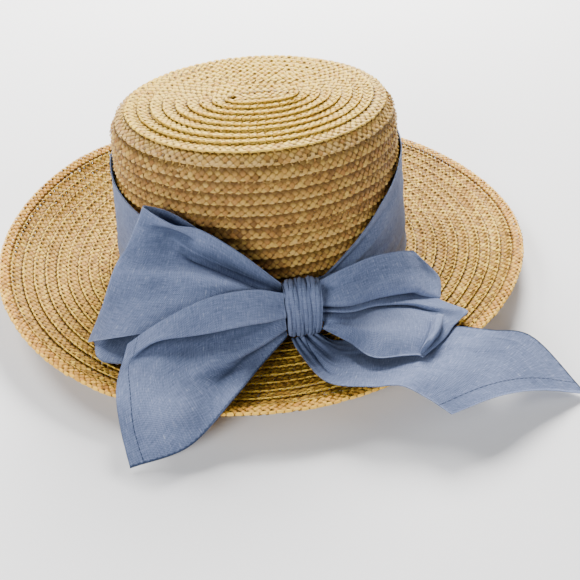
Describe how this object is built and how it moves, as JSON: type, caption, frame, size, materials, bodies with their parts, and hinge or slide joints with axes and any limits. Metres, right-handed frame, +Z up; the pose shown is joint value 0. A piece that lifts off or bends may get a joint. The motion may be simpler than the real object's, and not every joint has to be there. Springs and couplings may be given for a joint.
{
  "type": "straw hat with a bow",
  "caption": "Oval sun hat sewn from lapped straw braid, with a flat-topped crown, a turned-up brim and a cloth scarf tied round the crown in a bow.",
  "frame": {"origin": "middle of the head opening, on the plane that the hat rests on", "axes": "+X along the hat's long axis, +Y away from the bow, +Z up through the crown"},
  "size_m": [0.3341, 0.33, 0.1064],
  "materials": {
    "straw": "lapped wheat straw braid, slightly glossy",
    "edge_straw": "thicker wheat straw braid, slightly glossy",
    "chambray": "plain woven cotton chambray, matt",
    "knot_chambray": "plain woven cotton chambray wound tight, matt"
  },
  "bodies": {
    "root": {"crown": "straw", "brim": "straw", "edge_braid": "edge_straw", "hat_band": "chambray", "bow_knot": "knot_chambray", "bow_loop_left": "chambray", "bow_loop_right": "chambray", "bow_tail_left": "chambray", "bow_tail_right": "chambray"}
  },
  "joints": []
}
